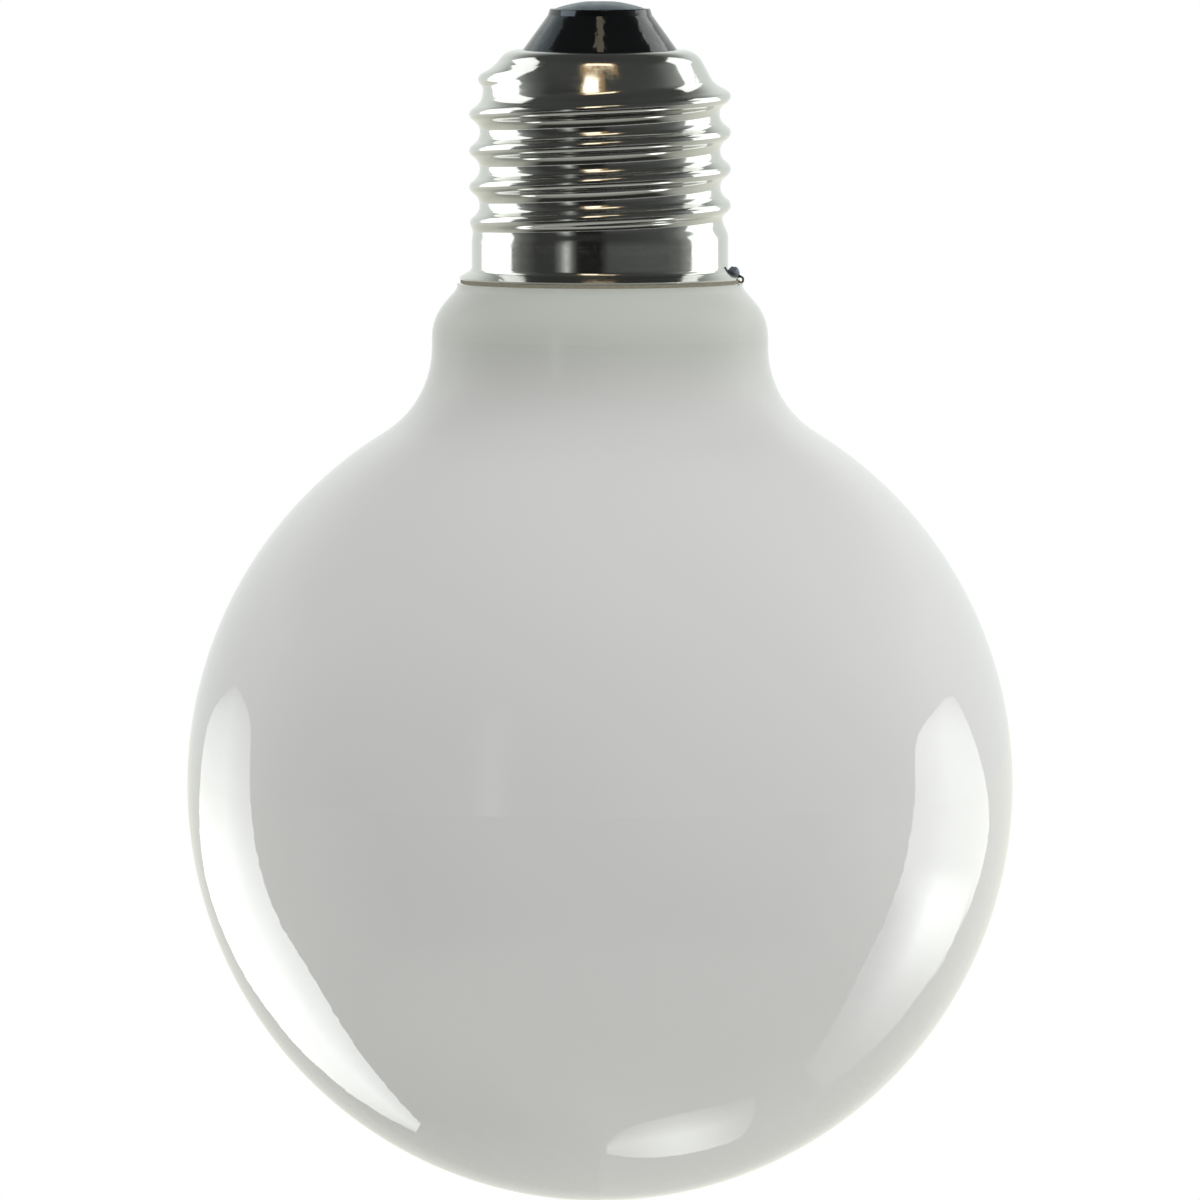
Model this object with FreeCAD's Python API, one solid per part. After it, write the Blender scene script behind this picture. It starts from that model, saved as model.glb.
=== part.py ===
import FreeCAD, Part
import math
import os

V = FreeCAD.Vector

# Globe lamp with a rolled screw cap, hanging cap up
# Sizes are in millimetres. The origin is the tip of the centre contact and +Z points up,
# so a "drop" is a distance below that tip. The cap's standard sizes set the scale.

# Cap shell, one drawn and rolled sheet
sheet = 0.25
root_radius = 12.05
crown_inset = 2.45
crown_width = 1.9
crown_round = 1.6
crown_slope = 30.0
crown_height = 1.6
band_length = 17.6
skirt_step = 0.75
skirt_length = 2.4
flare_width = 1.25
flare_angle = 60.0
flare_bend = 0.6

# Rolled thread
pitch = 3.629
thread_depth = 1.0
crest_round = 0.65
root_round = 1.3
first_crest = 3.03
run_in = 2.6
run_out = 3.2
columns = 36
row_height = 0.28

# Centre contact, a domed button with a tubular shank
contact_radius = 4.5
contact_dome = 0.7
contact_edge = 0.3
contact_flat_radius = 1.5
contact_face = 2.4
shank_radius = 1.25
clinch_width = 0.65
clinch_thickness = 0.35
lead_hole_clearance = 0.08

# Insulator of black glass
insulator_rim = 0.5
insulator_edge_round = 0.15
insulator_lip_height = 0.65
insulator_lip_flare = 0.2
insulator_height = 4.1
plug_grip = 0.8
plug_depth = 1.95
plug_round = 0.8
dish_width = 3.1
dish_depth = 0.8

# Cement between the cap and the glass
cement_gap = 0.3
cement_thickness = 1.8
cement_clearance = 0.3

# Glass
globe_diameter = 82.6
globe_sag = 0.4
neck_radius = 16.8
neck_straight = 1.0
neck_blend = 10.0
shoulder_round = 5.3
shoulder_slope = 41.0
ledge_overhang = 0.2
ledge_height = 0.35
ledge_round = 0.3
ledge_foot_round = 1.0
stub_length = 7.8
stub_root_round = 1.2
stub_end_round = 1.2

# Leads and weld
lead_radius = 0.11
lead_spread = 2.5
lead_stand_off = 0.5
lead_straight = 4.0
lead_bend = 2.5
lead_rise = 1.3
seal_depth = 3.0
side_lead_angle = -6.0
fold_reach = 0.3
fold_round = 0.2
lead_end_inset = 0.65
weld_radius = 0.6

# Worked out from the sizes above: radii of the cap, then drops from the tip downwards
crest_radius = root_radius + thread_depth
skirt_radius = root_radius + skirt_step
rim_radius = skirt_radius + flare_width
crown_corner_radius = root_radius - crown_inset
hole_radius = crown_corner_radius - crown_width
clinch_radius = shank_radius + clinch_width
insulator_top_radius = contact_radius + insulator_rim
insulator_lip_radius = insulator_top_radius + insulator_lip_flare
plug_radius = hole_radius + plug_grip
stub_radius = skirt_radius - sheet - cement_thickness

crown_drop = contact_dome + insulator_height
plug_end_drop = crown_drop + sheet + plug_depth
band_top_drop = crown_drop + crown_height
first_crest_drop = band_top_drop + first_crest
band_end_drop = band_top_drop + band_length
flare_drop = band_end_drop + skirt_length
cement_top_drop = band_end_drop + cement_clearance

slope = math.radians(shoulder_slope)
flare = math.radians(flare_angle)
lip_width = flare_width - flare_bend * (1 - math.cos(flare))
rim_drop = flare_drop + flare_bend * math.sin(flare) + lip_width / math.tan(flare)


def lip_line_drop(radius, height=0.0):
    """Drop of a line along the flared lip, at a height above its upper face or, below it, less than 0."""
    return rim_drop + (radius - rim_radius) / math.tan(flare) - height / math.sin(flare)


cement_line = -sheet - cement_gap
ledge_radius = rim_radius + ledge_overhang
ledge_drop = lip_line_drop(ledge_radius, cement_line)
stub_root_drop = lip_line_drop(stub_radius, cement_line)
stub_top_drop = stub_root_drop - stub_length
shoulder_drop = ledge_drop + ledge_height
neck_corner_drop = shoulder_drop + (neck_radius - ledge_radius) / math.tan(slope)
globe_radius = globe_diameter / 2
blend_radius = neck_radius + neck_blend
blend_rise = math.sqrt((globe_radius + neck_blend) ** 2 - blend_radius ** 2)
blend_turn = math.asin(blend_rise / (globe_radius + neck_blend))
blend_drop = neck_corner_drop + shoulder_round * math.tan(slope / 2) + neck_straight
globe_drop = blend_drop + blend_rise
overall_length = globe_drop + globe_radius + globe_sag


def at(radius, drop):
    """A point of the half plane through +X."""
    return V(radius, 0, -drop)


def crown_radius(drop, inset=0.0):
    """Radius of the cone between the cap's crown and its thread."""
    lean = math.radians(crown_slope)
    return crown_corner_radius + (drop - crown_drop) * math.tan(lean) - inset / math.cos(lean)


def rounded(corners):
    """Lines through corners of radius, drop and round, with tangent arcs at the rounded ones."""
    points = [at(radius, drop) for radius, drop, size in corners]
    edges = []
    start = points[0]
    for i in range(1, len(points) - 1):
        corner = points[i]
        size = corners[i][2]
        leave = corner
        if size > 0:
            back = (points[i - 1] - corner).normalize()
            onward = (points[i + 1] - corner).normalize()
            half = back.getAngle(onward) / 2
            inward = (back + onward).normalize()
            enter = corner + back * (size / math.tan(half))
            leave = corner + onward * (size / math.tan(half))
            middle = corner + inward * (size / math.sin(half) - size)
            edges.append(Part.makeLine(start, enter))
            edges.append(Part.Arc(enter, middle, leave).toShape())
        else:
            edges.append(Part.makeLine(start, corner))
        start = leave
    edges.append(Part.makeLine(start, points[-1]))
    return edges


def revolved(shape):
    return shape.revolve(V(0, 0, 0), V(0, 0, 1), 360)


def turned(edges):
    """A solid of revolution from the edges of one closed outline."""
    return revolved(Part.Face(Part.Wire(edges)))


def closed(corners):
    return turned(rounded(corners + [corners[0]]))


def on_bend(inset, turn):
    """A point of the flare's bend on the outer face, or inset from it, as the sheet turns outwards."""
    reach = flare_bend + inset
    return at(skirt_radius + flare_bend - reach * math.cos(turn), flare_drop + reach * math.sin(turn))


def flare_edges(inset=0.0):
    """The bend and the straight lip on the outer face, or inset from it."""
    lip = at(rim_radius - inset * math.cos(flare), rim_drop + inset * math.sin(flare))
    bend = Part.Arc(on_bend(inset, 0), on_bend(inset, flare / 2), on_bend(inset, flare)).toShape()
    return [bend, Part.makeLine(on_bend(inset, flare), lip)]


def save(name, shape):
    shape.exportStep("parts/" + name + ".step")


# Glass bulb: globe, concave neck, shoulder under the lip and the stub inside the cap
def glass_bulb():
    share = globe_radius / (globe_radius + neck_blend)
    tangent = at(blend_radius * share, globe_drop - blend_rise * share)
    side = at(globe_radius, globe_drop)
    brow = at(globe_radius * math.cos(blend_turn / 2), globe_drop - globe_radius * math.sin(blend_turn / 2))
    waist_turn = blend_turn / 2
    waist = at(blend_radius - neck_blend * math.cos(waist_turn), blend_drop + neck_blend * math.sin(waist_turn))
    bowl = Part.Ellipse(at(0, overall_length), side, at(0, globe_drop))
    edges = [
        bowl.toShape(0, math.pi / 2),
        Part.Arc(side, brow, tangent).toShape(),
        Part.Arc(tangent, waist, at(neck_radius, blend_drop)).toShape(),
    ]
    edges += rounded([
        (neck_radius, blend_drop, 0),
        (neck_radius, neck_corner_drop, shoulder_round),
        (ledge_radius, shoulder_drop, ledge_foot_round),
        (ledge_radius, ledge_drop, ledge_round),
        (stub_radius, stub_root_drop, stub_root_round),
        (stub_radius, stub_top_drop, stub_end_round),
        (0, stub_top_drop, 0),
        (0, overall_length, 0),
    ])
    bulb = turned(edges)
    for reach in (lead_spread, -lead_spread):
        seal = Part.makeCylinder(lead_radius, seal_depth, at(reach, stub_top_drop + seal_depth))
        bulb = bulb.cut(in_lead_plane(seal))
    return bulb


def in_lead_plane(shape):
    shape.rotate(V(0, 0, 0), V(0, 0, 1), side_lead_angle)
    return shape


# Cap shell: crown, knuckle thread, skirt and flared lip in one sheet
def knuckle(distance, inset):
    """Height of the rolled thread above its root at a distance along the axis from the crest:
    a crest arc and two root arcs, tangent to each other, then the plain root."""
    crest = crest_round - inset
    root = root_round + inset
    depth = thread_depth
    foot = math.sqrt(depth * (2 * (crest + root) - depth))
    distance = abs(distance)
    if distance < foot * crest / (crest + root):
        return depth - crest + math.sqrt(crest ** 2 - distance ** 2)
    if distance < foot:
        return root - math.sqrt(root ** 2 - (foot - distance) ** 2)
    return 0.0


def ease(share):
    share = min(1.0, max(0.0, share))
    return share * share * (3 - 2 * share)


def band_radius(angle, drop, inset):
    """Radius of the threaded band, which starts from the crown and runs out into the skirt."""
    turns = (drop - first_crest_drop) / pitch + angle / (2 * math.pi)
    distance = (turns - round(turns)) * pitch
    base = min(root_radius - inset, crown_radius(drop, inset))
    threaded = base + knuckle(distance, inset) * ease((drop - band_top_drop) / run_in)
    skirt = skirt_radius - inset
    return skirt + (threaded - skirt) * ease((band_end_drop - drop) / run_out)


def threaded_band(inset):
    """One face of the band, periodic round the axis, cubic along it and of degree 5 round it.
    The swell puts the poles as far out as makes a plain stretch come out truly round."""
    spans = math.ceil((band_end_drop - band_top_drop) / row_height)
    step = 2 * math.pi / columns
    swell = 60 / (33 + 26 * math.cos(step) + math.cos(2 * step))
    poles = []
    for i in range(columns):
        angle = (i - 2) * step
        line = []
        for j in range(spans + 3):
            share = sum(min(spans, max(0, j - k)) for k in range(3)) / (3.0 * spans)
            drop = band_end_drop + (band_top_drop - band_end_drop) * share
            radius = band_radius(angle, drop, inset) * swell
            line.append(V(radius * math.cos(angle), radius * math.sin(angle), -drop))
        poles.append(line)
    round_knots = [float(i) for i in range(columns + 1)]
    axial_knots = [float(j) for j in range(spans + 1)]
    surface = Part.BSplineSurface()
    surface.buildFromPolesMultsKnots(
        poles, [1] * (columns + 1), [4] + [1] * (spans - 1) + [4],
        round_knots, axial_knots, True, False, 5, 3,
    )
    return surface.toShape()


def crown_edges():
    """Outline of the crown from the inner face of the band, round the hole, to its outer face."""
    lean = math.radians(crown_slope)
    inner_corner = crown_corner_radius + sheet * math.tan(lean) - sheet / math.cos(lean)
    inner = rounded([
        (crown_radius(band_top_drop, sheet), band_top_drop, 0),
        (inner_corner, crown_drop + sheet, crown_round - sheet),
        (hole_radius, crown_drop + sheet, 0),
        (hole_radius, crown_drop, 0),
    ])
    outer = rounded([
        (hole_radius, crown_drop, 0),
        (crown_corner_radius, crown_drop, crown_round),
        (crown_radius(band_top_drop), band_top_drop, 0),
    ])
    return inner + outer


def skirt_edges():
    """Outline of the skirt and lip from the outer face of the band to its inner face."""
    inner_radius = skirt_radius - sheet
    outer = [Part.makeLine(at(skirt_radius, band_end_drop), at(skirt_radius, flare_drop))]
    outer += flare_edges()
    inner = [Part.makeLine(at(inner_radius, band_end_drop), at(inner_radius, flare_drop))]
    inner += flare_edges(sheet)
    edge = Part.makeLine(outer[-1].Vertexes[1].Point, inner[-1].Vertexes[1].Point)
    return outer + [edge] + inner[::-1]


def cap_shell():
    crown = revolved(Part.Wire(crown_edges()))
    skirt = revolved(Part.Wire(skirt_edges()))
    skin = Part.makeCompound(crown.Faces + skirt.Faces + [threaded_band(0), threaded_band(sheet)])
    skin.sewShape()
    return Part.Solid(skin.Shells[0])


# Capping cement: the ring between the glass and the skirt, seen as a thin line under the lip
def capping_cement(bulb):
    inside = stub_radius - cement_gap
    outside = skirt_radius - sheet
    face = flare_edges(sheet)
    lip = face[-1].Vertexes[1].Point
    low = V(lip.x, 0, -ledge_drop)
    edges = [
        Part.makeLine(at(inside, cement_top_drop), at(outside, cement_top_drop)),
        Part.makeLine(at(outside, cement_top_drop), at(outside, flare_drop)),
        *face,
        Part.makeLine(lip, low),
        Part.makeLine(low, at(inside, ledge_drop)),
        Part.makeLine(at(inside, ledge_drop), at(inside, cement_top_drop)),
    ]
    return turned(edges).cut(bulb)


# Insulator: a glass cone through the crown's hole, with a plug that holds the crown from inside
def cap_insulator():
    return closed([
        (shank_radius, contact_dome + contact_edge, 0),
        (contact_radius, contact_dome + contact_edge, 0),
        (contact_radius, contact_dome, 0),
        (insulator_top_radius, contact_dome, insulator_edge_round),
        (insulator_lip_radius, contact_dome + insulator_lip_height, 0),
        (hole_radius, crown_drop, 0),
        (hole_radius, crown_drop + sheet, 0),
        (plug_radius, crown_drop + sheet, 0),
        (plug_radius, plug_end_drop, plug_round),
        (plug_radius - dish_width, plug_end_drop, 0),
        (clinch_radius, plug_end_drop - dish_depth, 0),
        (shank_radius, plug_end_drop - dish_depth, 0),
    ])


# Centre contact: the button that the holder's spring presses on, clinched through the insulator
def centre_contact():
    run = contact_radius ** 2 - contact_flat_radius ** 2
    centre_drop = (run + contact_dome ** 2) / (2 * contact_dome)
    radius = math.hypot(contact_flat_radius, centre_drop)
    middle_radius = (contact_radius + contact_flat_radius) / 2
    middle = at(middle_radius, centre_drop - math.sqrt(radius ** 2 - middle_radius ** 2))
    bore = lead_radius + lead_hole_clearance
    clinch_drop = plug_end_drop - dish_depth
    dome = Part.Arc(at(contact_flat_radius, 0), middle, at(contact_radius, contact_dome)).toShape()
    edges = [Part.makeLine(at(0, 0), at(contact_flat_radius, 0)), dome]
    edges += rounded([
        (contact_radius, contact_dome, 0),
        (contact_radius, contact_dome + contact_edge, 0),
        (shank_radius, contact_dome + contact_edge, 0),
        (shank_radius, clinch_drop, 0),
        (clinch_radius, clinch_drop, 0),
        (clinch_radius, clinch_drop + clinch_thickness, 0),
        (bore, clinch_drop + clinch_thickness, 0),
        (bore, contact_face, 0),
        (0, contact_face, 0),
        (0, 0, 0),
    ])
    return turned(edges)


def drawn_wire(corners):
    """A lead of round wire along a path in the lead plane."""
    path = Part.Wire(rounded(corners))
    start = at(corners[0][0], corners[0][1])
    section = Part.Wire(Part.makeCircle(lead_radius, start, V(0, 0, 1)))
    return in_lead_plane(path.makePipeShell([section], True, False))


def centre_lead():
    bend_drop = stub_top_drop - lead_straight
    return drawn_wire([
        (-lead_spread, stub_top_drop + seal_depth, 0),
        (-lead_spread, bend_drop, lead_bend),
        (0, bend_drop - lead_spread, lead_bend),
        (0, contact_face, 0),
    ])


# Side lead: over the end of the stub, down through the cement and folded up over the lip
def lead_end():
    radius = rim_radius - lead_end_inset
    return radius, lip_line_drop(radius, lead_radius)


def side_lead():
    run = stub_radius + lead_stand_off
    fold_radius = rim_radius + fold_reach
    under = -sheet - cement_gap / 2
    return drawn_wire([
        (lead_spread, stub_top_drop + seal_depth, 0),
        (lead_spread, stub_top_drop - lead_rise, lead_rise / 2),
        (run, stub_top_drop - lead_rise, lead_rise / 2),
        (run, lip_line_drop(run, under), stub_root_round),
        (fold_radius, lip_line_drop(fold_radius, under), fold_round),
        (fold_radius, lip_line_drop(fold_radius, lead_radius), fold_round),
        (*lead_end(), 0),
    ])


# Side weld: the bead that joins the end of the folded lead to the lip
def side_weld(lead):
    bead = in_lead_plane(Part.makeSphere(weld_radius, at(*lead_end())))
    inside = skirt_radius - 2 * weld_radius
    under = rim_drop + 2 * weld_radius
    wall = [Part.makeLine(at(skirt_radius, band_end_drop), at(skirt_radius, flare_drop))]
    wall += flare_edges()
    wall += [
        Part.makeLine(at(rim_radius, rim_drop), at(rim_radius, under)),
        Part.makeLine(at(rim_radius, under), at(inside, under)),
        Part.makeLine(at(inside, under), at(inside, band_end_drop)),
        Part.makeLine(at(inside, band_end_drop), at(skirt_radius, band_end_drop)),
    ]
    return bead.cut(turned(wall)).cut(lead)


os.makedirs("parts", exist_ok=True)
bulb = glass_bulb()
lead = side_lead()
save("glass_bulb", bulb)
save("cap_shell", cap_shell())
save("capping_cement", capping_cement(bulb).cut(lead))
save("cap_insulator", cap_insulator())
save("centre_contact", centre_contact())
save("centre_lead", centre_lead())
save("side_lead", lead)
save("side_weld", side_weld(lead))
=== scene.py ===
# %% [markdown]
# # A globe lamp with a screw cap
# The lamp hangs cap up: a blown opal globe, a rolled metal cap with a round thread, a black glass
# insulator and a domed centre contact. The shapes come ready made, in metres, with the origin at the
# tip of the contact and +Z up. Blender's work here is the finish of each piece, the light and the view.

# %% Load the fixed frame
import bpy
import math
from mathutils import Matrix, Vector


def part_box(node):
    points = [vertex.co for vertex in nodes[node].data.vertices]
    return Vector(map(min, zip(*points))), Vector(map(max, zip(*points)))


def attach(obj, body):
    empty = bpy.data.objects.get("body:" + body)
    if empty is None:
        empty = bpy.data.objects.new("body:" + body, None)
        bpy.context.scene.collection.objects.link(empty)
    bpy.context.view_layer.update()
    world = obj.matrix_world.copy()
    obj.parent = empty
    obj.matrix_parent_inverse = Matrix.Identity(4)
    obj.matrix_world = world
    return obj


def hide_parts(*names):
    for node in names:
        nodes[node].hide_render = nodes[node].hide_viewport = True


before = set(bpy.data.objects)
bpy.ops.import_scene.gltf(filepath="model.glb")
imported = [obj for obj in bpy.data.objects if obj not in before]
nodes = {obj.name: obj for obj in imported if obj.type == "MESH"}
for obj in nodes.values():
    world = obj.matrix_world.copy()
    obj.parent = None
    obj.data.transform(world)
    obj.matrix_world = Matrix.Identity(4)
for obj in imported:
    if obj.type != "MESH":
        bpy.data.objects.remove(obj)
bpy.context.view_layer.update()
print("nodes", sorted(nodes))

# %% [markdown]
# ## The view
# The photograph is taken from far away and a little above the cap, so a long lens looks down by a few
# degrees. The camera comes first, because the bright crescents further down are placed by what it sees.

# %% Camera
EYE = Vector((0, -1.4, 0.035))
VIEW_CENTRE = Vector((0, 0, -0.0598))
VIEW_HEIGHT = 0.1197

camera_data = bpy.data.cameras.new("camera")
camera_data.sensor_width = 36
camera_data.lens = camera_data.sensor_width * abs(EYE.y) / VIEW_HEIGHT
camera = bpy.data.objects.new("camera", camera_data)
camera.location = EYE
camera.rotation_euler = (VIEW_CENTRE - EYE).to_track_quat("-Z", "Y").to_euler()
bpy.context.scene.collection.objects.link(camera)
bpy.context.scene.camera = camera
bpy.context.scene.view_settings.view_transform = "Standard"
print("lens", round(camera_data.lens, 1), "mm")

# %% [markdown]
# ## Helpers for the finishes
# Colours are written as the hex values a colour picker shows, so one function turns them to the linear
# values that Blender calculates with. Sizes of patterns are written in millimetres. One more function
# adds a node with its settings and links, which keeps each finish short enough to read at a glance.

# %% Colour and scale
MM = 0.001


def linear(hex_colour):
    """An sRGB hex colour as linear red, green, blue and alpha."""
    parts = [int(hex_colour[i:i + 2], 16) / 255 for i in (1, 3, 5)]
    return [c / 12.92 if c <= 0.04045 else ((c + 0.055) / 1.055) ** 2.4 for c in parts] + [1.0]


def per_metre(size_mm):
    """Texture scale for features of a size in millimetres."""
    return 1 / (size_mm * MM)


print("a mid grey #808080 is", round(linear("#808080")[0], 3), "in linear light")

# %% Nodes and finishes


def add_node(tree, kind, settings=None, links=None, **values):
    """Adds a node, sets its properties and its sockets, and links outputs of other nodes to it."""
    node = tree.nodes.new(kind)
    for name, value in (settings or {}).items():
        setattr(node, name, value)
    for name, value in values.items():
        node.inputs[name.replace("_", " ")].default_value = value
    for name, output in (links or {}).items():
        tree.links.new(output, node.inputs[name])
    return node


def new_finish(name, **values):
    """A material with a Principled shader, and the object's own coordinates for its patterns."""
    finish = bpy.data.materials.new(name)
    finish.use_nodes = True
    tree = finish.node_tree
    shader = tree.nodes["Principled BSDF"]
    for socket, value in values.items():
        shader.inputs[socket.replace("_", " ")].default_value = value
    place = tree.nodes.new("ShaderNodeTexCoord").outputs["Object"]
    return finish, tree, shader, place


def wear(node_name, finish):
    """Gives a CAD node its finish."""
    slots = nodes[node_name].material_slots
    for slot in slots:
        slot.material = finish
    print(node_name, "wears", finish.name, "in", len(slots), "slot")


print("nodes to finish:", len(nodes))

# %% [markdown]
# ## The opal globe
# The globe is blown from white opal glass. Its scattering grains are too small to see, so it looks like a
# smooth white body under a clear gloss. It could be made with real volume scattering, which is slow and
# noisy. A diffuse body with the gloss of glass looks the same at this size. The wall is never of even
# thickness, so the white varies softly over some 30 mm, and the blown surface is faintly wavy.

# %% Opal glass, blown
opal, tree, shader, place = new_finish("opal glass blown", Roughness=0.03, IOR=1.5)
wall = add_node(tree, "ShaderNodeTexNoise", None, {"Vector": place},
                Scale=per_metre(30), Detail=2.0, Roughness=0.45)
height = add_node(tree, "ShaderNodeSeparateXYZ", None, {"Vector": place})
# The neck is painted darker and a little greener towards the cap: painted shade where the cap shades it,
# full down to 31 mm below the contact's tip, and none from 46 mm on
neck_shade = add_node(tree, "ShaderNodeMapRange", {"interpolation_type": "SMOOTHSTEP"},
                {"Value": height.outputs["Z"]},
                From_Min=-46 * MM, From_Max=-31 * MM, To_Min=0.0, To_Max=1.0)
body_white = add_node(tree, "ShaderNodeMix", {"data_type": "RGBA"}, {"Factor": wall.outputs["Fac"]},
                      A=linear("#DDDDDC"), B=linear("#E2E2E1"))
# painted shade of the neck, mixed into the white of the body
white_with_neck_shade = add_node(tree, "ShaderNodeMix", {"data_type": "RGBA"},
                  {"Factor": neck_shade.outputs["Result"], "A": body_white.outputs["Result"]},
                  B=linear("#CBCDC7"))
tree.links.new(white_with_neck_shade.outputs["Result"], shader.inputs["Base Color"])
waves = add_node(tree, "ShaderNodeTexNoise", None, {"Vector": place},
                 Scale=per_metre(14), Detail=1.0, Roughness=0.4)
blown = add_node(tree, "ShaderNodeBump", None, {"Height": waves.outputs["Fac"]},
                 Strength=0.25, Distance=0.05 * MM)
tree.links.new(blown.outputs["Normal"], shader.inputs["Normal"])
wear("glass_bulb", opal)

# %% [markdown]
# ## The rolled sheet of the cap
# A mirror bright thread shows every facet of its mesh. So the cap is drawn again on a fine and even grid,
# with the sizes of the ready made one and a rounder edge of the crown, as in the photograph. A screw
# modifier could turn one outline about the axis, but this thread also fades into the crown above and the
# skirt below. So the radius is worked out from the angle and the drop, and a solidify modifier gives the
# sheet its thickness.

# %% Sizes of the cap in millimetres, with drops measured down from the contact's tip
SHEET = 0.25
HOLE_RADIUS = 7.7
CROWN_DROP = 4.8
CROWN_RADIUS = 9.6
CROWN_ROUND = 2.4
CROWN_LEAN = math.radians(30)
BAND_END = 24.0
ROOT_RADIUS = 12.05
PASSAGE = 0.8  # how softly the crown's cone passes into the thread's root
PITCH = 3.629
CREST_ROUND = 0.68
ROOT_ROUND = 1.41
FLANK = math.radians(50)
FIRST_CREST = 9.43
RUN_IN_DROP = 6.9  # where the thread starts to rise out of the cone
RUN_IN = 1.4       # the height over which it rises to its full depth
RUN_OUT = 3.2      # and the height over which it fades into the skirt, down to BAND_END
SKIRT_RADIUS = 12.8
FLARE_DROP = 26.4
FLARE_ROUND = 0.6
FLARE_LEAN = math.radians(60)
LIP_RADIUS = 14.05

flank_run = (PITCH / 2 - (CREST_ROUND + ROOT_ROUND) * math.sin(FLANK)) / math.cos(FLANK)
thread_depth = (CREST_ROUND + ROOT_ROUND) * (1 - math.cos(FLANK)) + flank_run * math.sin(FLANK)
print("the thread is", round(thread_depth, 2), "mm deep")

# %% [markdown]
# A lamp thread has no sharp edge: it has a small arc over each crest, a larger one in each groove, and a
# short straight flank between them. It could be traced from a picture as a list of points, but a formula
# stays round at any size of the grid. The first function gives the height at a distance from a crest. The
# others wrap it round the axis, where it climbs by one pitch in a turn, and fade it in and out.

# %% Radius of the thread


def knuckle(distance):
    """Height over the root at a distance along the axis from a crest: round, straight flank, round."""
    distance = abs(distance)
    if distance < CREST_ROUND * math.sin(FLANK):
        return thread_depth - CREST_ROUND + math.sqrt(CREST_ROUND ** 2 - distance ** 2)
    to_root = PITCH / 2 - distance
    if to_root < ROOT_ROUND * math.sin(FLANK):
        return ROOT_ROUND - math.sqrt(ROOT_ROUND ** 2 - to_root ** 2)
    return ROOT_ROUND * (1 - math.cos(FLANK)) + (to_root - ROOT_ROUND * math.sin(FLANK)) * math.tan(FLANK)


def ease(share):
    """A share from 0 to 1 that starts and ends slowly."""
    share = min(1, max(0, share))
    return share * share * (3 - 2 * share)


def crown_radius(drop):
    """Radius of the crown's cone at a drop."""
    return CROWN_RADIUS + (drop - CROWN_DROP) * math.tan(CROWN_LEAN)


def held_in(radius):
    """The smaller of a radius and the thread's root, with a soft passage between them."""
    return (radius + ROOT_RADIUS - math.hypot(radius - ROOT_RADIUS, PASSAGE)) / 2


def band_radius(angle, drop):
    """The thread on its root, which softly leaves the crown's cone and runs out into the skirt."""
    turns = (drop - FIRST_CREST) / PITCH + angle / (2 * math.pi)
    from_crest = (turns - round(turns)) * PITCH
    base = held_in(crown_radius(drop))
    swell = (ROOT_RADIUS + thread_depth - base) * knuckle(from_crest) / thread_depth
    threaded = base + swell * ease((drop - from_crest - RUN_IN_DROP) / RUN_IN)
    return SKIRT_RADIUS + (threaded - SKIRT_RADIUS) * ease((BAND_END - drop) / RUN_OUT)


for name, drop in (("crest", FIRST_CREST + PITCH), ("groove", FIRST_CREST + PITCH * 3 / 2)):
    print("radius of a", name, "at the right side", round(band_radius(0, drop), 2), "mm")

# %% [markdown]
# From the hole in the crown the sheet goes over a round edge, down a cone, through the thread and a plain
# skirt, and ends in a flared lip. Few rows make up a straight part and several make up a bend. On the
# thread they lie 0.12 mm apart, because a coarser grid would show as steps in the mirror.

# %% Rows of the cap from the hole in the crown to the lip
ROW_HEIGHT = 0.12
EDGE_STEPS = 8
FLARE_STEPS = 6
FLAT = math.radians(90)
rows = [(CROWN_DROP, HOLE_RADIUS)]
bend_drop = CROWN_DROP + CROWN_ROUND
bend_end = bend_drop - CROWN_ROUND * math.sin(CROWN_LEAN)
bend_radius = crown_radius(bend_end) - CROWN_ROUND * math.cos(CROWN_LEAN)
for step in range(EDGE_STEPS + 1):
    turn = FLAT + (CROWN_LEAN - FLAT) * step / EDGE_STEPS
    rows.append((bend_drop - CROWN_ROUND * math.sin(turn),
                 held_in(bend_radius + CROWN_ROUND * math.cos(turn))))
cone_top = rows[-1][0]
spans = round((BAND_END - cone_top) / ROW_HEIGHT)
rows += [(cone_top + (BAND_END - cone_top) * step / spans, None) for step in range(1, spans + 1)]
for step in range(FLARE_STEPS + 1):
    turn = FLARE_LEAN * step / FLARE_STEPS
    rows.append((FLARE_DROP + FLARE_ROUND * math.sin(turn),
                 SKIRT_RADIUS + FLARE_ROUND * (1 - math.cos(turn))))
rows.append((rows[-1][0] + (LIP_RADIUS - rows[-1][1]) / math.tan(FLARE_LEAN), LIP_RADIUS))
print(len(rows), "rows, the lip ends at", round(rows[-1][0], 2), "mm")

# %% [markdown]
# Each row becomes a ring of points, and neighbouring rings are joined by four-sided faces. Solidify grows
# the sheet inwards, so the outside keeps its sizes. Smooth shading hides the grid, while the edges of the
# hole and of the lip, which turn by more than 40 degrees, stay crisp.

# %% Cap mesh, with its sheet thickened inwards
COLUMNS = 256
CRISP = math.radians(40)
cap_points = []
for drop, radius in rows:
    for column in range(COLUMNS):
        angle = 2 * math.pi * column / COLUMNS
        r = radius or band_radius(angle, drop)
        cap_points.append((r * math.cos(angle) * MM, r * math.sin(angle) * MM, -drop * MM))
cap_faces = []
for row in range(len(rows) - 1):
    for column in range(COLUMNS):
        here, beside = row * COLUMNS + column, row * COLUMNS + (column + 1) % COLUMNS
        cap_faces.append((here, here + COLUMNS, beside + COLUMNS, beside))
sheet_mesh = bpy.data.meshes.new("rolled_cap")
sheet_mesh.from_pydata(cap_points, [], cap_faces)
rolled_cap = bpy.data.objects.new("rolled_cap", sheet_mesh)
bpy.context.scene.collection.objects.link(rolled_cap)
thicken = rolled_cap.modifiers.new("sheet", "SOLIDIFY")
thicken.thickness = SHEET * MM
thicken.offset = -1
thicken.use_even_offset = True
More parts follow.
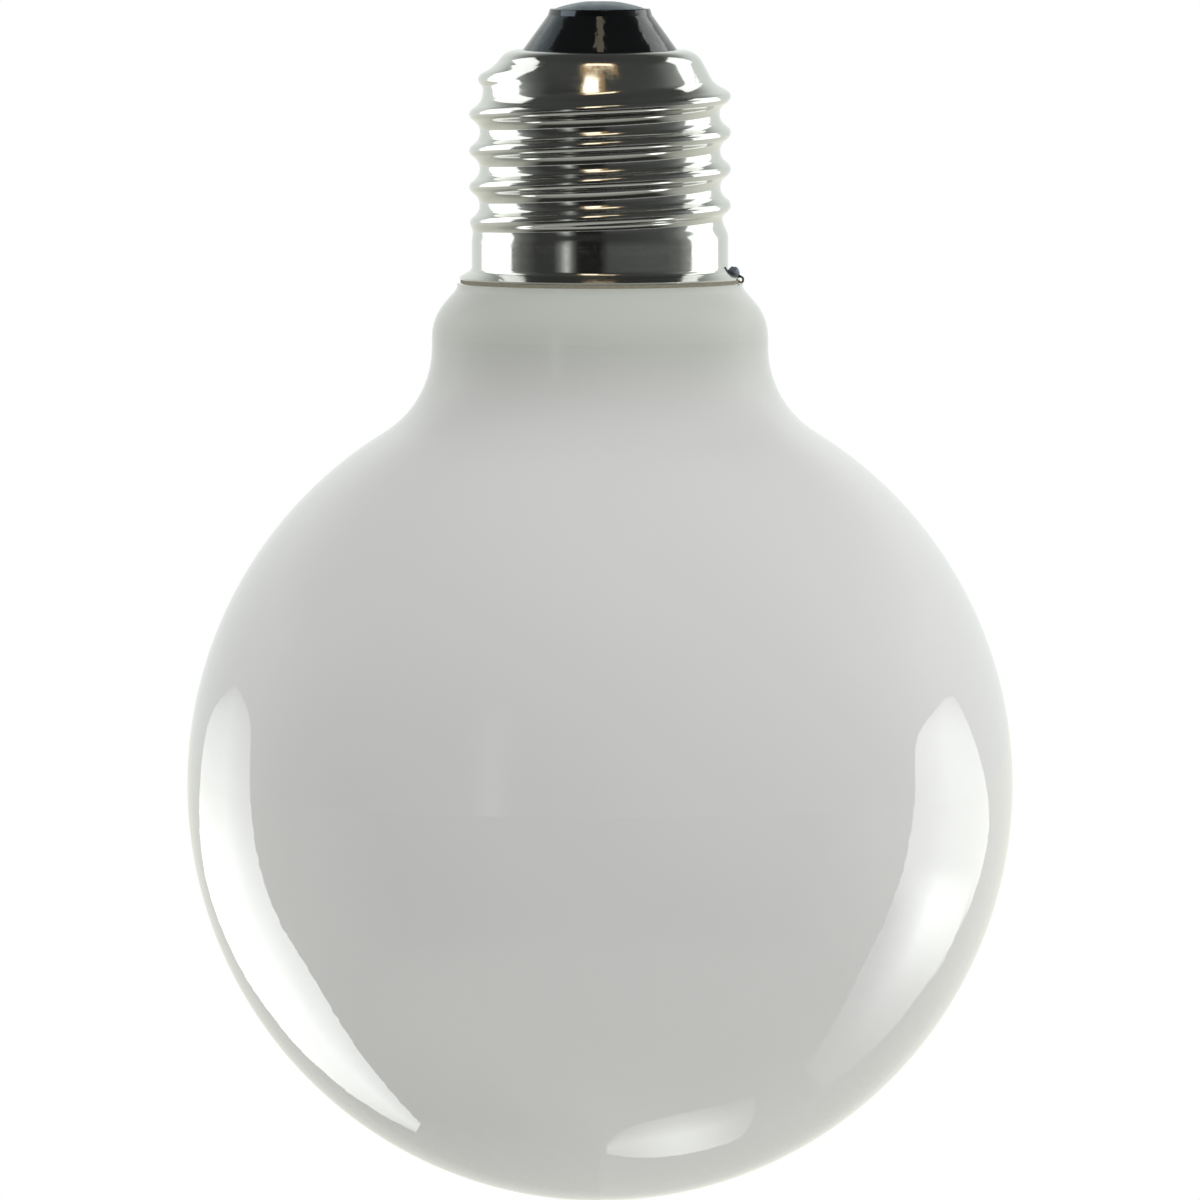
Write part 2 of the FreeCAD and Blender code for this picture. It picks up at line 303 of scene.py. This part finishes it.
solid_cap = rolled_cap.evaluated_get(bpy.context.evaluated_depsgraph_get())
rolled_cap.data = bpy.data.meshes.new_from_object(solid_cap)
rolled_cap.modifiers.clear()
rolled_cap.data.shade_smooth()
rolled_cap.data.set_sharp_from_angle(angle=CRISP)
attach(rolled_cap, "root")
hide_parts("cap_shell")
print("rolled_cap has", len(rolled_cap.data.polygons), "faces, and is",
      [round(side * 1000, 2) for side in rolled_cap.dimensions], "mm")

# %% [markdown]
# ## The finish of the cap
# The cap is brass sheet, nickel plated, drawn to a cup and rolled to a round thread between two wheels.
# Plated nickel is a slightly warm mirror. The wheels leave fine lines round the cap, and handling leaves
# specks and short scratches. Lines and specks change the roughness and the height a little, so they show
# only where a bright edge is mirrored, as on the real cap.

# %% Nickel plate on rolled brass sheet
nickel, tree, shader, place = new_finish("nickel plate on rolled brass", Metallic=1.0)
# Rolling lines: 0.25 mm apart up the cap and 12 mm long round it, coarser than real ones so they show
along = add_node(tree, "ShaderNodeMapping", None, {"Vector": place},
                 Scale=(per_metre(12), per_metre(12), per_metre(0.25)))
lines = add_node(tree, "ShaderNodeTexNoise", None, {"Vector": along.outputs["Vector"]},
                 Scale=1.0, Detail=3.0, Roughness=0.6)
specks = add_node(tree, "ShaderNodeTexNoise", None, {"Vector": place},
                  Scale=per_metre(0.45), Detail=2.0, Roughness=0.7)
stains = add_node(tree, "ShaderNodeTexNoise", None, {"Vector": place},
                  Scale=per_metre(5), Detail=4.0, Roughness=0.6)
plate_tone = add_node(tree, "ShaderNodeMix", {"data_type": "RGBA"}, {"Factor": stains.outputs["Fac"]},
                      A=linear("#C2C3BF"), B=linear("#D0D0CC"))
tree.links.new(plate_tone.outputs["Result"], shader.inputs["Base Color"])
grain = add_node(tree, "ShaderNodeMath", {"operation": "MULTIPLY"},
                 {0: lines.outputs["Fac"], 1: specks.outputs["Fac"]})
gloss = add_node(tree, "ShaderNodeMapRange", None, {"Value": grain.outputs["Value"]},
                 From_Min=0.1, From_Max=0.5, To_Min=0.05, To_Max=0.2)
tree.links.new(gloss.outputs["Result"], shader.inputs["Roughness"])
rolled = add_node(tree, "ShaderNodeBump", None, {"Height": grain.outputs["Value"]},
                  Strength=0.3, Distance=0.005 * MM)
tree.links.new(rolled.outputs["Normal"], shader.inputs["Normal"])
rolled_cap.data.materials.append(nickel)
print("rolled_cap wears", nickel.name)

# %% [markdown]
# ## The insulator
# The black cone is glass pressed hot round the contact. Pressed glass keeps a soft waviness from the
# cooler mould, so its highlights wobble, while the skin itself is fire polished and glossy.

# %% Black glass, pressed
black_glass, tree, shader, place = new_finish("black glass pressed", Roughness=0.09, IOR=1.6)
streaks = add_node(tree, "ShaderNodeTexNoise", None, {"Vector": place},
                   Scale=per_metre(3), Detail=3.0, Roughness=0.55)
melt = add_node(tree, "ShaderNodeMix", {"data_type": "RGBA"}, {"Factor": streaks.outputs["Fac"]},
                A=linear("#040506"), B=linear("#0D0E10"))
tree.links.new(melt.outputs["Result"], shader.inputs["Base Color"])
ripple = add_node(tree, "ShaderNodeTexNoise", None, {"Vector": place},
                  Scale=per_metre(1.8), Detail=2.0, Roughness=0.5)
pressed = add_node(tree, "ShaderNodeBump", None, {"Height": ripple.outputs["Fac"]},
                   Strength=0.6, Distance=0.12 * MM)
tree.links.new(pressed.outputs["Normal"], shader.inputs["Normal"])
wear("cap_insulator", black_glass)

# %% [markdown]
# ## The centre contact
# The button is stamped from brass sheet and plated, and heat from the glass has dulled it to a blue grey.
# It is duller and rougher than the cap, with small marks where a holder's spring has pressed on it.

# %% Contact button, stamped and heat dulled
button, tree, shader, place = new_finish("contact plate heat dulled", Metallic=1.0)
bloom = add_node(tree, "ShaderNodeTexNoise", None, {"Vector": place},
                 Scale=per_metre(1.6), Detail=4.0, Roughness=0.6)
dulled = add_node(tree, "ShaderNodeMix", {"data_type": "RGBA"}, {"Factor": bloom.outputs["Fac"]},
                  A=linear("#626F7A"), B=linear("#8C9AA5"))
tree.links.new(dulled.outputs["Result"], shader.inputs["Base Color"])
matt = add_node(tree, "ShaderNodeMapRange", None, {"Value": bloom.outputs["Fac"]},
                From_Min=0.3, From_Max=0.7, To_Min=0.28, To_Max=0.45)
tree.links.new(matt.outputs["Result"], shader.inputs["Roughness"])
stamped = add_node(tree, "ShaderNodeBump", None, {"Height": bloom.outputs["Fac"]},
                   Strength=0.4, Distance=0.03 * MM)
tree.links.new(stamped.outputs["Normal"], shader.inputs["Normal"])
wear("centre_contact", button)

# %% [markdown]
# ## The capping cement
# The cap is stuck on with a paste of stone flour and resin, baked until it is hard. Only a thin dull line
# of it shows under the lip. It has no gloss at all, so a high roughness and a fine grit in its height say
# more about it than its colour does.

# %% Capping cement, baked
cement, tree, shader, place = new_finish("capping cement baked", Roughness=0.9)
flour = add_node(tree, "ShaderNodeTexNoise", None, {"Vector": place},
                 Scale=per_metre(0.5), Detail=5.0, Roughness=0.7)
baked = add_node(tree, "ShaderNodeMix", {"data_type": "RGBA"}, {"Factor": flour.outputs["Fac"]},
                 A=linear("#7D7766"), B=linear("#A9A493"))
tree.links.new(baked.outputs["Result"], shader.inputs["Base Color"])
grit = add_node(tree, "ShaderNodeBump", None, {"Height": flour.outputs["Fac"]},
                Strength=0.7, Distance=0.08 * MM)
tree.links.new(grit.outputs["Normal"], shader.inputs["Normal"])
wear("capping_cement", cement)

# %% [markdown]
# ## The leads
# A lead is nickel wire pulled through a die, which leaves it clean, round and satin. It is only a fifth
# of a millimetre thick, so one roughness is enough, and the slight tarnish is drawn in its colour.

# %% Lead wire, drawn nickel
wire, tree, shader, place = new_finish("nickel wire drawn", Metallic=1.0, Roughness=0.3)
tarnish = add_node(tree, "ShaderNodeTexNoise", None, {"Vector": place},
                   Scale=per_metre(0.6), Detail=3.0, Roughness=0.6)
drawn = add_node(tree, "ShaderNodeMix", {"data_type": "RGBA"}, {"Factor": tarnish.outputs["Fac"]},
                 A=linear("#77746F"), B=linear("#B4B1AA"))
tree.links.new(drawn.outputs["Result"], shader.inputs["Base Color"])
wear("centre_lead", wire)
wear("side_lead", wire)

# %% [markdown]
# ## The weld bead
# Where the lead is welded to the lip, the metal melted and a thin oxide skin turned it blue grey. The skin
# is duller than metal, so the bead is only partly metallic, with spots of about a third of a millimetre.

# %% Weld bead, blued by heat
weld, tree, shader, place = new_finish("weld bead heat blued", Metallic=0.6)
scale_skin = add_node(tree, "ShaderNodeTexNoise", None, {"Vector": place},
                      Scale=per_metre(0.35), Detail=4.0, Roughness=0.65)
blued = add_node(tree, "ShaderNodeMix", {"data_type": "RGBA"}, {"Factor": scale_skin.outputs["Fac"]},
                 A=linear("#5F656F"), B=linear("#9BA3AF"))
tree.links.new(blued.outputs["Result"], shader.inputs["Base Color"])
crust = add_node(tree, "ShaderNodeMapRange", None, {"Value": scale_skin.outputs["Fac"]},
                 From_Min=0.3, From_Max=0.7, To_Min=0.3, To_Max=0.6)
tree.links.new(crust.outputs["Result"], shader.inputs["Roughness"])
bead = add_node(tree, "ShaderNodeBump", None, {"Height": scale_skin.outputs["Fac"]},
                Strength=0.8, Distance=0.1 * MM)
tree.links.new(bead.outputs["Normal"], shader.inputs["Normal"])
wear("side_weld", weld)

# %% [markdown]
# The bead froze while it moved, so it is never smooth. It could be sculpted, but a displace modifier does
# the same in a few lines: the faces are joined and divided first, and then a cloud pattern with lumps of
# 0.4 mm pushes them in and out by less than a tenth of a millimetre.

# %% Lumps on the weld bead
lumps = bpy.data.textures.new("weld lumps", "CLOUDS")
lumps.noise_scale = 0.4 * MM
bead_piece = nodes["side_weld"]
bead_piece.modifiers.new("joined", "WELD").merge_threshold = 0.001 * MM
finer = bead_piece.modifiers.new("finer", "SUBSURF")
finer.subdivision_type = "SIMPLE"
finer.levels = finer.render_levels = 2
lumpy = bead_piece.modifiers.new("lumpy", "DISPLACE")
lumpy.texture = lumps
lumpy.texture_coords = "LOCAL"
lumpy.strength = 0.15 * MM
print("side_weld has", len(bead_piece.data.polygons), "faces before its lumps")

# %% [markdown]
# ## The studio
# The lamp hangs well above a pale floor in a white room. The room is plain white to the eye, to gloss
# and to clear things, and softer to matt surfaces, so that the white opal keeps its tone. The kind of ray
# tells them apart, which costs nothing and needs no second background.

# %% White room
TO_MATT = 0.70
TO_EYE = 1.0
world = bpy.data.worlds.new("white room")
bpy.context.scene.world = world
world.use_nodes = True
room = world.node_tree


def seen_directly(tree):
    """1 for a ray from the camera, from gloss or through clear matter, and 0 for a matt one."""
    ray = add_node(tree, "ShaderNodeLightPath")
    eye = add_node(tree, "ShaderNodeMath", {"operation": "MAXIMUM"},
                   {0: ray.outputs["Is Camera Ray"], 1: ray.outputs["Is Glossy Ray"]})
    both = add_node(tree, "ShaderNodeMath", {"operation": "MAXIMUM"},
                    {0: eye.outputs["Value"], 1: ray.outputs["Is Transmission Ray"]})
    return both.outputs["Value"]


strength = add_node(room, "ShaderNodeMapRange", None, {"Value": seen_directly(room)},
                    To_Min=TO_MATT, To_Max=TO_EYE)
room.nodes["Background"].inputs["Color"].default_value = (1, 1, 1, 1)
room.links.new(strength.outputs["Result"], room.nodes["Background"].inputs["Strength"])
print("the room is", TO_EYE, "to the eye and", TO_MATT, "to matt surfaces")

# %% [markdown]
# The floor is a large matt disc, far below the lamp. To the eye it also glows a little, so it runs into
# the white of the room without a line, and the shadow and the light that fall on it are still its own.

# %% Pale floor
FLOOR = -0.85
FLOOR_RADIUS = 5.0
FLOOR_GLOW = 0.55
bpy.ops.mesh.primitive_circle_add(vertices=96, radius=FLOOR_RADIUS, fill_type="NGON",
                                  location=(0, 0, FLOOR))
floor = bpy.context.object
floor.name = "floor"
paint, tree, shader, place = new_finish("floor paint matt", Roughness=0.9)
shader.inputs["Base Color"].default_value = linear("#E6E6E3")
lift = add_node(tree, "ShaderNodeMapRange", None, {"Value": seen_directly(tree)},
                To_Min=0.0, To_Max=FLOOR_GLOW)
shader.inputs["Emission Color"].default_value = (1, 1, 1, 1)
tree.links.new(lift.outputs["Result"], shader.inputs["Emission Strength"])
floor.data.materials.append(paint)
print("the floor lies", -FLOOR, "m below the contact's tip")

# %% [markdown]
# A bright metal shows the room, so the room is dressed for it, as a photographer does with cards. A card
# here is a glowing patch that is seen in gloss alone and lights nothing. Real lamps behind paper would do
# the same, but they would also light the white globe. The brightness is stored at the patch's points, so
# it can change softly over it, and the first helper blends it between the few places where it is given.

# %% Blend between stops


def steps_between(stops, size):
    """The stops, a size or less apart, with all that they hold blended evenly between them."""
    fine = [stops[0]]
    for a, b in zip(stops, stops[1:]):
        parts = max(1, math.ceil(abs(b[0] - a[0]) / size))
        fine += [[p + (q - p) * (i + 1) / parts for p, q in zip(a, b)] for i in range(parts)]
    return fine


print("stops from 0 to 9, at most 4 apart:", steps_between([[0], [9]], 4))

# %% A glowing card


def card(name, hex_colour, grid, see_through=False):
    """A patch from rows of (place, brightness). If see through, its glow adds to what is behind it."""
    wide = len(grid[0])
    faces = [(j * wide + i, j * wide + i + 1, (j + 1) * wide + i + 1, (j + 1) * wide + i)
             for j in range(len(grid) - 1) for i in range(wide - 1)]
    mesh = bpy.data.meshes.new(name)
    mesh.from_pydata([place for line in grid for place, glow in line], [], faces)
    brightness = mesh.attributes.new("glow", "FLOAT", "POINT").data
    brightness.foreach_set("value", [glow for line in grid for place, glow in line])
    finish = bpy.data.materials.new(name)
    finish.use_nodes = True
    tree = finish.node_tree
    tree.nodes.remove(tree.nodes["Principled BSDF"])
    glow = add_node(tree, "ShaderNodeAttribute", {"attribute_name": "glow"})
    light = add_node(tree, "ShaderNodeEmission", None, {"Strength": glow.outputs["Fac"]},
                     Color=linear(hex_colour))
    surface = light.outputs["Emission"]
    if see_through:
        clear = add_node(tree, "ShaderNodeBsdfTransparent")
        both = add_node(tree, "ShaderNodeAddShader", None, {0: surface, 1: clear.outputs["BSDF"]})
        surface = both.outputs["Shader"]
    tree.links.new(surface, tree.nodes["Material Output"].inputs["Surface"])
    mesh.materials.append(finish)
    patch = bpy.data.objects.new(name, mesh)
    bpy.context.scene.collection.objects.link(patch)
    patch.visible_camera = patch.visible_diffuse = patch.visible_shadow = False
    patch.visible_transmission = patch.visible_volume_scatter = False
    print(name, len(faces), "faces")


# %% [markdown]
# The room's own two cards are parts of two balls round the lamp, a large one for the room and a small one
# for the table. Their rows go up the ball, and each row gives the brightness at the same azimuths.
# Azimuth 0 is the camera's side and grows to the right.

# %% A card that is part of a ball
MIDDLE = Vector((0, 0, -0.05))
CARD_STEP = 3  # degrees between the points of such a card


def room_card(name, hex_colour, radius, azimuths, rows):
    """A part of a ball round the lamp, from rows of (elevation, [brightness at each azimuth])."""
    grid = []
    for elevation, *levels in steps_between([[row[0], *row[1]] for row in rows], CARD_STEP):
        e, line = math.radians(elevation), []
        for azimuth, level in steps_between(list(zip(azimuths, levels)), CARD_STEP):
            a = math.radians(azimuth)
            ray = Vector((math.sin(a) * math.cos(e), -math.cos(a) * math.cos(e), math.sin(e)))
            line.append((MIDDLE + ray * radius, level))
        grid.append(line)
    card(name, hex_colour, grid)


print("the balls stand round", [round(c * 1000) for c in MIDDLE], "mm")

# %% [markdown]
# The room is dark behind the camera and overhead, with one narrow pale gap at azimuth -30, which is the
# soft streak on the skirt. It grows pale over a wide stretch at both sides, so that no edge of it shows on
# the glass. Below it is the table, dark in front and pale under the lamp. In a mirror bright thread the
# pale lines are that part of the table and the globe, and the dark lines between them are its front.

# %% Dark room and pale walls
ROOM_RADIUS = 4.0
ROOM_AZIMUTHS = [-180, -160, -138, -115, -92, -76, -60, -42, -36, -30, -25, -20,
                 0, 8, 40, 62, 76, 92, 115, 138, 160, 180]
room_card("room in reflections", "#F6FBF7", ROOM_RADIUS, ROOM_AZIMUTHS, [
    (-5, [1.0, 0.98, 1.0, 1.05, 0.5, 0.18, 0.06, 0.06, 0.25, 0.95, 0.22, 0.02,
          0.015, 0.11, 0.13, 0.13, 0.18, 0.5, 1.05, 1.0, 0.98, 1.0]),
    (20, [1.0, 0.98, 1.0, 1.05, 0.5, 0.18, 0.06, 0.06, 0.16, 0.5, 0.14, 0.02,
          0.02, 0.08, 0.09, 0.11, 0.18, 0.5, 1.05, 1.0, 0.98, 1.0]),
    (27, [0.9, 0.85, 0.8, 0.7, 0.45, 0.18, 0.06, 0.06, 0.06, 0.05, 0.04, 0.04,
          0.03, 0.06, 0.08, 0.1, 0.18, 0.45, 0.7, 0.8, 0.85, 0.9]),
    (38, [0.4, 0.35, 0.35, 0.35, 0.25, 0.14, 0.06, 0.06, 0.06, 0.05, 0.04, 0.04,
          0.04, 0.06, 0.08, 0.1, 0.14, 0.25, 0.35, 0.35, 0.35, 0.4]),
    (50, [0.08] * len(ROOM_AZIMUTHS)), (90, [0.06] * len(ROOM_AZIMUTHS))])

# %% Table under the lamp
TABLE_RADIUS = 0.7
TABLE_AZIMUTHS = [-180, -140, -110, -84, -60, 0, 60, 84, 110, 140, 180]
room_card("table in reflections", "#FAFCF0", TABLE_RADIUS, TABLE_AZIMUTHS, [
    (-90, [0.8, 0.8, 0.8, 0.8, 0.7, 0.7, 0.7, 0.8, 0.8, 0.8, 0.8]),
    (-70, [0.7, 0.3, 0.3, 0.4, 0.5, 0.5, 0.5, 0.5, 0.6, 0.8, 0.8]),
    (-52, [0.7, 0.3, 0.3, 0.4, 0.45, 0.45, 0.45, 0.5, 0.6, 0.8, 0.8]),
    (-46, [0.7, 0.35, 0.35, 0.35, 0.42, 0.42, 0.42, 0.4, 0.6, 0.8, 0.8]),
    (-40, [0.7, 0.45, 0.45, 0.3, 0.3, 0.3, 0.3, 0.3, 0.6, 0.8, 0.8]),
    (-36, [0.7, 0.5, 0.5, 0.4, 0.08, 0.07, 0.07, 0.4, 0.7, 0.8, 0.8]),
    (-30, [0.8, 0.7, 0.7, 0.5, 0.04, 0.03, 0.04, 0.5, 0.8, 0.9, 0.8]),
    (-20, [0.9, 0.8, 0.8, 0.6, 0.04, 0.03, 0.04, 0.6, 0.9, 1.0, 1.0]),
    (-5, [1.0, 0.95, 0.9, 0.6, 0.05, 0.03, 0.05, 0.6, 0.9, 1.0, 1.0])])

# %% [markdown]
# The globe mirrors two soft boxes at its sides and one low down as bright crescents. To place them, each
# point of a crescent on the globe is seen from the camera, the ray is mirrored there, and the card's
# point hangs on it a little way out. A soft box mirrored near a ball's edge is a band along that edge, so
# it is described as one: at a few angles round the globe's middle, how near and how far the band reaches,
# in millimetres, and how bright it is. The angle grows clockwise from the globe's right side.

# %% Where a card shows in the globe
low_corner, high_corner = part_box("glass_bulb")
GLOBE_RADIUS = (high_corner[0] - low_corner[0]) / 2
GLOBE_SAG = 0.4 * MM
globe_centre = Vector((0, 0, low_corner[2] + GLOBE_RADIUS + GLOBE_SAG))
CARD_REACH = 20 * MM


def mirrored(across, drop):
    """The point of a near card that the camera sees in the globe at a place of the picture."""
    up = camera.rotation_euler.to_matrix() @ Vector((0, 1, 0))
    # The ray through that place meets the globe's sphere, and turns back there about the normal
    target = VIEW_CENTRE + Vector((across * MM, 0, 0)) - up * (drop * MM + VIEW_CENTRE.z)
    ray = (target - EYE).normalized()
    to_eye = EYE - globe_centre
    half = to_eye.dot(ray)
    inside = half ** 2 - to_eye.length_squared + GLOBE_RADIUS ** 2
    hit = EYE - ray * (half + math.sqrt(max(0, inside)))
    normal = (hit - globe_centre).normalized()
    return hit + (ray - normal * 2 * ray.dot(normal)) * CARD_REACH


print("its middle shows a card at", [round(c * 1000) for c in mirrored(0, -globe_centre.z / MM)], "mm")

# %% A crescent along the globe's edge
PARTS_ALONG = 8
HALF_ACROSS = 6
GLOBE_MIDDLE = -globe_centre.z / MM


def smooth_between(stops, parts):
    """Stops on a smooth curve through the given ones, so an outline of few points has no corners."""
    ends = [stops[0], *stops, stops[-1]]
    fine = []
    for a, b, c, d in zip(ends, ends[1:], ends[2:], ends[3:]):
        for t in (i / parts for i in range(parts)):
            fine.append([q + t / 2 * (r - p + t * (2 * p - 5 * q + 4 * r - s + t * (3 * (q - r) + s - p)))
                         for p, q, r, s in zip(a, b, c, d)])
    return fine + [list(stops[-1])]


def crescent(name, hex_colour, near_edge, far_edge, stops):
    """A card from stops of angle, near and far reach, and brightness. The edges are shares of that."""
    grid = []
    for angle, near, far, level in smooth_between(stops, PARTS_ALONG):
        a, line = math.radians(angle), []
        for k in range(-HALF_ACROSS, HALF_ACROSS + 1):
            reach = (near + far + (far - near) * k / HALF_ACROSS) / 2
            share = 1 + ((near_edge if k < 0 else far_edge) - 1) * abs(k) / HALF_ACROSS
            line.append((mirrored(reach * math.cos(a), GLOBE_MIDDLE + reach * math.sin(a)), level * share))
        grid.append(line)
    card(name, hex_colour, grid, see_through=True)


print("three stops become", len(smooth_between([(0, 0), (1, 1), (2, 0)], PARTS_ALONG)))

# %% [markdown]
# The box on the left is even, and fades at its top. The one on the right has its lamp low in the cloth,
# which shows as a bright spot, and below the spot the cloth is dim.

# %% The three crescents and the bright spot
crescent("soft box left", "#FBFFFD", 0.9, 0.5, [
    (195, 37.5, 38, 0.3), (190, 35.5, 39.5, 1.5), (180, 35, 40, 2.5), (165, 35, 40.5, 4),
    (145, 34.5, 40, 4.5), (130, 36, 39.5, 3.5), (118, 38, 39, 2)])
crescent("soft box right", "#FBFFFD", 1.0, 0.5, [
    (-14, 35.5, 36.5, 1), (-8, 32, 37.5, 3), (4, 31.5, 39, 3), (16, 31.5, 39, 3),
    (24, 31.5, 38.5, 1.5), (36, 32, 38, 1), (54, 34.5, 37.5, 0.3)])
crescent("soft box right lamp", "#FBFFFD", 0.0, 0.3, [
    (13, 33, 38.5, 0), (17, 32, 38.5, 2), (22, 32, 38.5, 3.5), (28, 32, 38.5, 2.5),
    (35, 32.5, 38, 1), (46, 33.5, 38, 0)])
crescent("soft box low", "#FBFFFD", 0.3, 0.6, [
    (64, 34.5, 35.5, 0.5), (68, 34, 37.5, 1), (77, 33.5, 37.5, 3), (85, 34, 37, 2), (89, 35.5, 36.5, 1.5)])

# %% [markdown]
# The cap mirrors the same two soft boxes as hard-edged white flanks, and a warm lamp that hangs over the
# camera as gold glints. These are real lamps in Blender, because a lamp can be linked to some objects
# only, and the globe stays plain. There are three groups of objects: the metal, the metal with the black
# glass, and the black glass alone. Each lamp fills a window of azimuths and elevations, as seen from the
# cap, and a faint and more golden one round a warm lamp gives it a soft edge.

# %% Which pieces the lamps shine on
metal_side = bpy.data.collections.new("metal side")
cap_side = bpy.data.collections.new("cap side")
glass_side = bpy.data.collections.new("black glass side")
for piece in (rolled_cap, nodes["centre_contact"], nodes["side_weld"]):
    metal_side.objects.link(piece)
    cap_side.objects.link(piece)
cap_side.objects.link(nodes["cap_insulator"])
glass_side.objects.link(nodes["cap_insulator"])

# %% Lamp that fills a window, as seen from the cap
CAP_MIDDLE = Vector((0, 0, -0.016))
LAMP_REACH = 0.5
FLUX = math.pi  # power per square metre of a lamp that looks 1.0 bright


def cap_lamp(name, hex_colour, brightness, azimuths, elevations, shines_on):
    """A lamp at LAMP_REACH from the cap, as wide and as high as two azimuths and two elevations say."""
    left, right = (math.radians(azimuth) for azimuth in azimuths)
    low, high = (LAMP_REACH * math.tan(math.radians(elevation)) for elevation in elevations)
    outward = Vector((math.sin((left + right) / 2), -math.cos((left + right) / 2), 0))
    lamp = bpy.data.lights.new(name, "AREA")
    lamp.shape = "RECTANGLE"
    lamp.size = 2 * LAMP_REACH * math.tan((right - left) / 2)
    lamp.size_y = high - low
    lamp.color = linear(hex_colour)[:3]
    lamp.energy = FLUX * brightness * lamp.size * lamp.size_y
    lamp_object = bpy.data.objects.new(name, lamp)
    lamp_object.location = CAP_MIDDLE + outward * LAMP_REACH + Vector((0, 0, (low + high) / 2))
    lamp_object.rotation_euler = outward.to_track_quat("Z", "Y").to_euler()
    lamp_object.visible_camera = lamp_object.visible_diffuse = False
    lamp_object.light_linking.receiver_collection = shines_on
    bpy.context.scene.collection.objects.link(lamp_object)
    print(name, "is", round(lamp.size, 2), "by", round(lamp.size_y, 2), "m")


print("the lamps stand", LAMP_REACH, "m from the cap")

# %% Soft boxes and warm lamps for the cap
cap_lamp("soft box for the cap left", "#FDFFFE", 1.5, (-132, -86), (-4.8, 24), metal_side)
cap_lamp("soft box for the cap left top", "#FDFFFE", 1.5, (-138, -93), (24, 50), metal_side)
cap_lamp("soft box for the cap right", "#FDFFFE", 1.5, (90, 131), (-4.8, 24), cap_side)
cap_lamp("soft box for the cap right top", "#FDFFFE", 1.5, (108, 140), (24, 47), cap_side)
cap_lamp("warm lamp", "#FFF8E4", 2.4, (-20, -2), (40, 53), metal_side)
cap_lamp("warm lamp fringe", "#FFC878", 0.35, (-23, 6), (36, 55), metal_side)
cap_lamp("warm lamp high", "#FFF3D6", 2.2, (-24, 20), (57, 64), metal_side)
cap_lamp("warm lamp high fringe", "#FFC878", 0.35, (-29, 26), (55.5, 66), metal_side)
cap_lamp("warm lamp for the black glass", "#FFF0D2", 1.5, (-11, 14), (55, 80), glass_side)
cap_lamp("blue lamp for the black glass", "#D8EEFF", 2.2, (-102, -62), (8, 46), glass_side)
cap_lamp("blue soft box for the black glass", "#D8EEFF", 0.5, (-150, -108), (24, 52), glass_side)

# %% [markdown]
# The matt white of the opal is lit by the room, by a large soft lamp overhead on the right with a
# fainter one below it, which make that side a little brighter, and by two behind the lamp for its rim.
# They are left out of gloss, where the cards do the work.

# %% Large soft lamps
SOFT_REACH = 1.5


def soft_lamp(name, azimuth, elevation, side, brightness):
    """A square lamp that faces the globe, with its brightness given as the white it would look."""
    a, e = math.radians(azimuth), math.radians(elevation)
    ray = Vector((math.sin(a) * math.cos(e), -math.cos(a) * math.cos(e), math.sin(e)))
    lamp = bpy.data.lights.new(name, "AREA")
    lamp.shape = "SQUARE"
    lamp.size = side
    lamp.energy = FLUX * brightness * side * side
    lamp_object = bpy.data.objects.new(name, lamp)
    lamp_object.location = MIDDLE + ray * SOFT_REACH
    lamp_object.rotation_euler = ray.to_track_quat("Z", "Y").to_euler()
    lamp_object.visible_camera = lamp_object.visible_glossy = False
    bpy.context.scene.collection.objects.link(lamp_object)
    print(name, "at", [round(c, 2) for c in lamp_object.location])


soft_lamp("soft lamp overhead", 60, 62, side=1.0, brightness=1.5)
soft_lamp("soft lamp low right", 60, -35, side=1.0, brightness=0.75)
soft_lamp("soft lamp behind left", -135, 10, side=0.8, brightness=1.2)
soft_lamp("soft lamp behind right", 125, 15, side=0.8, brightness=1.8)
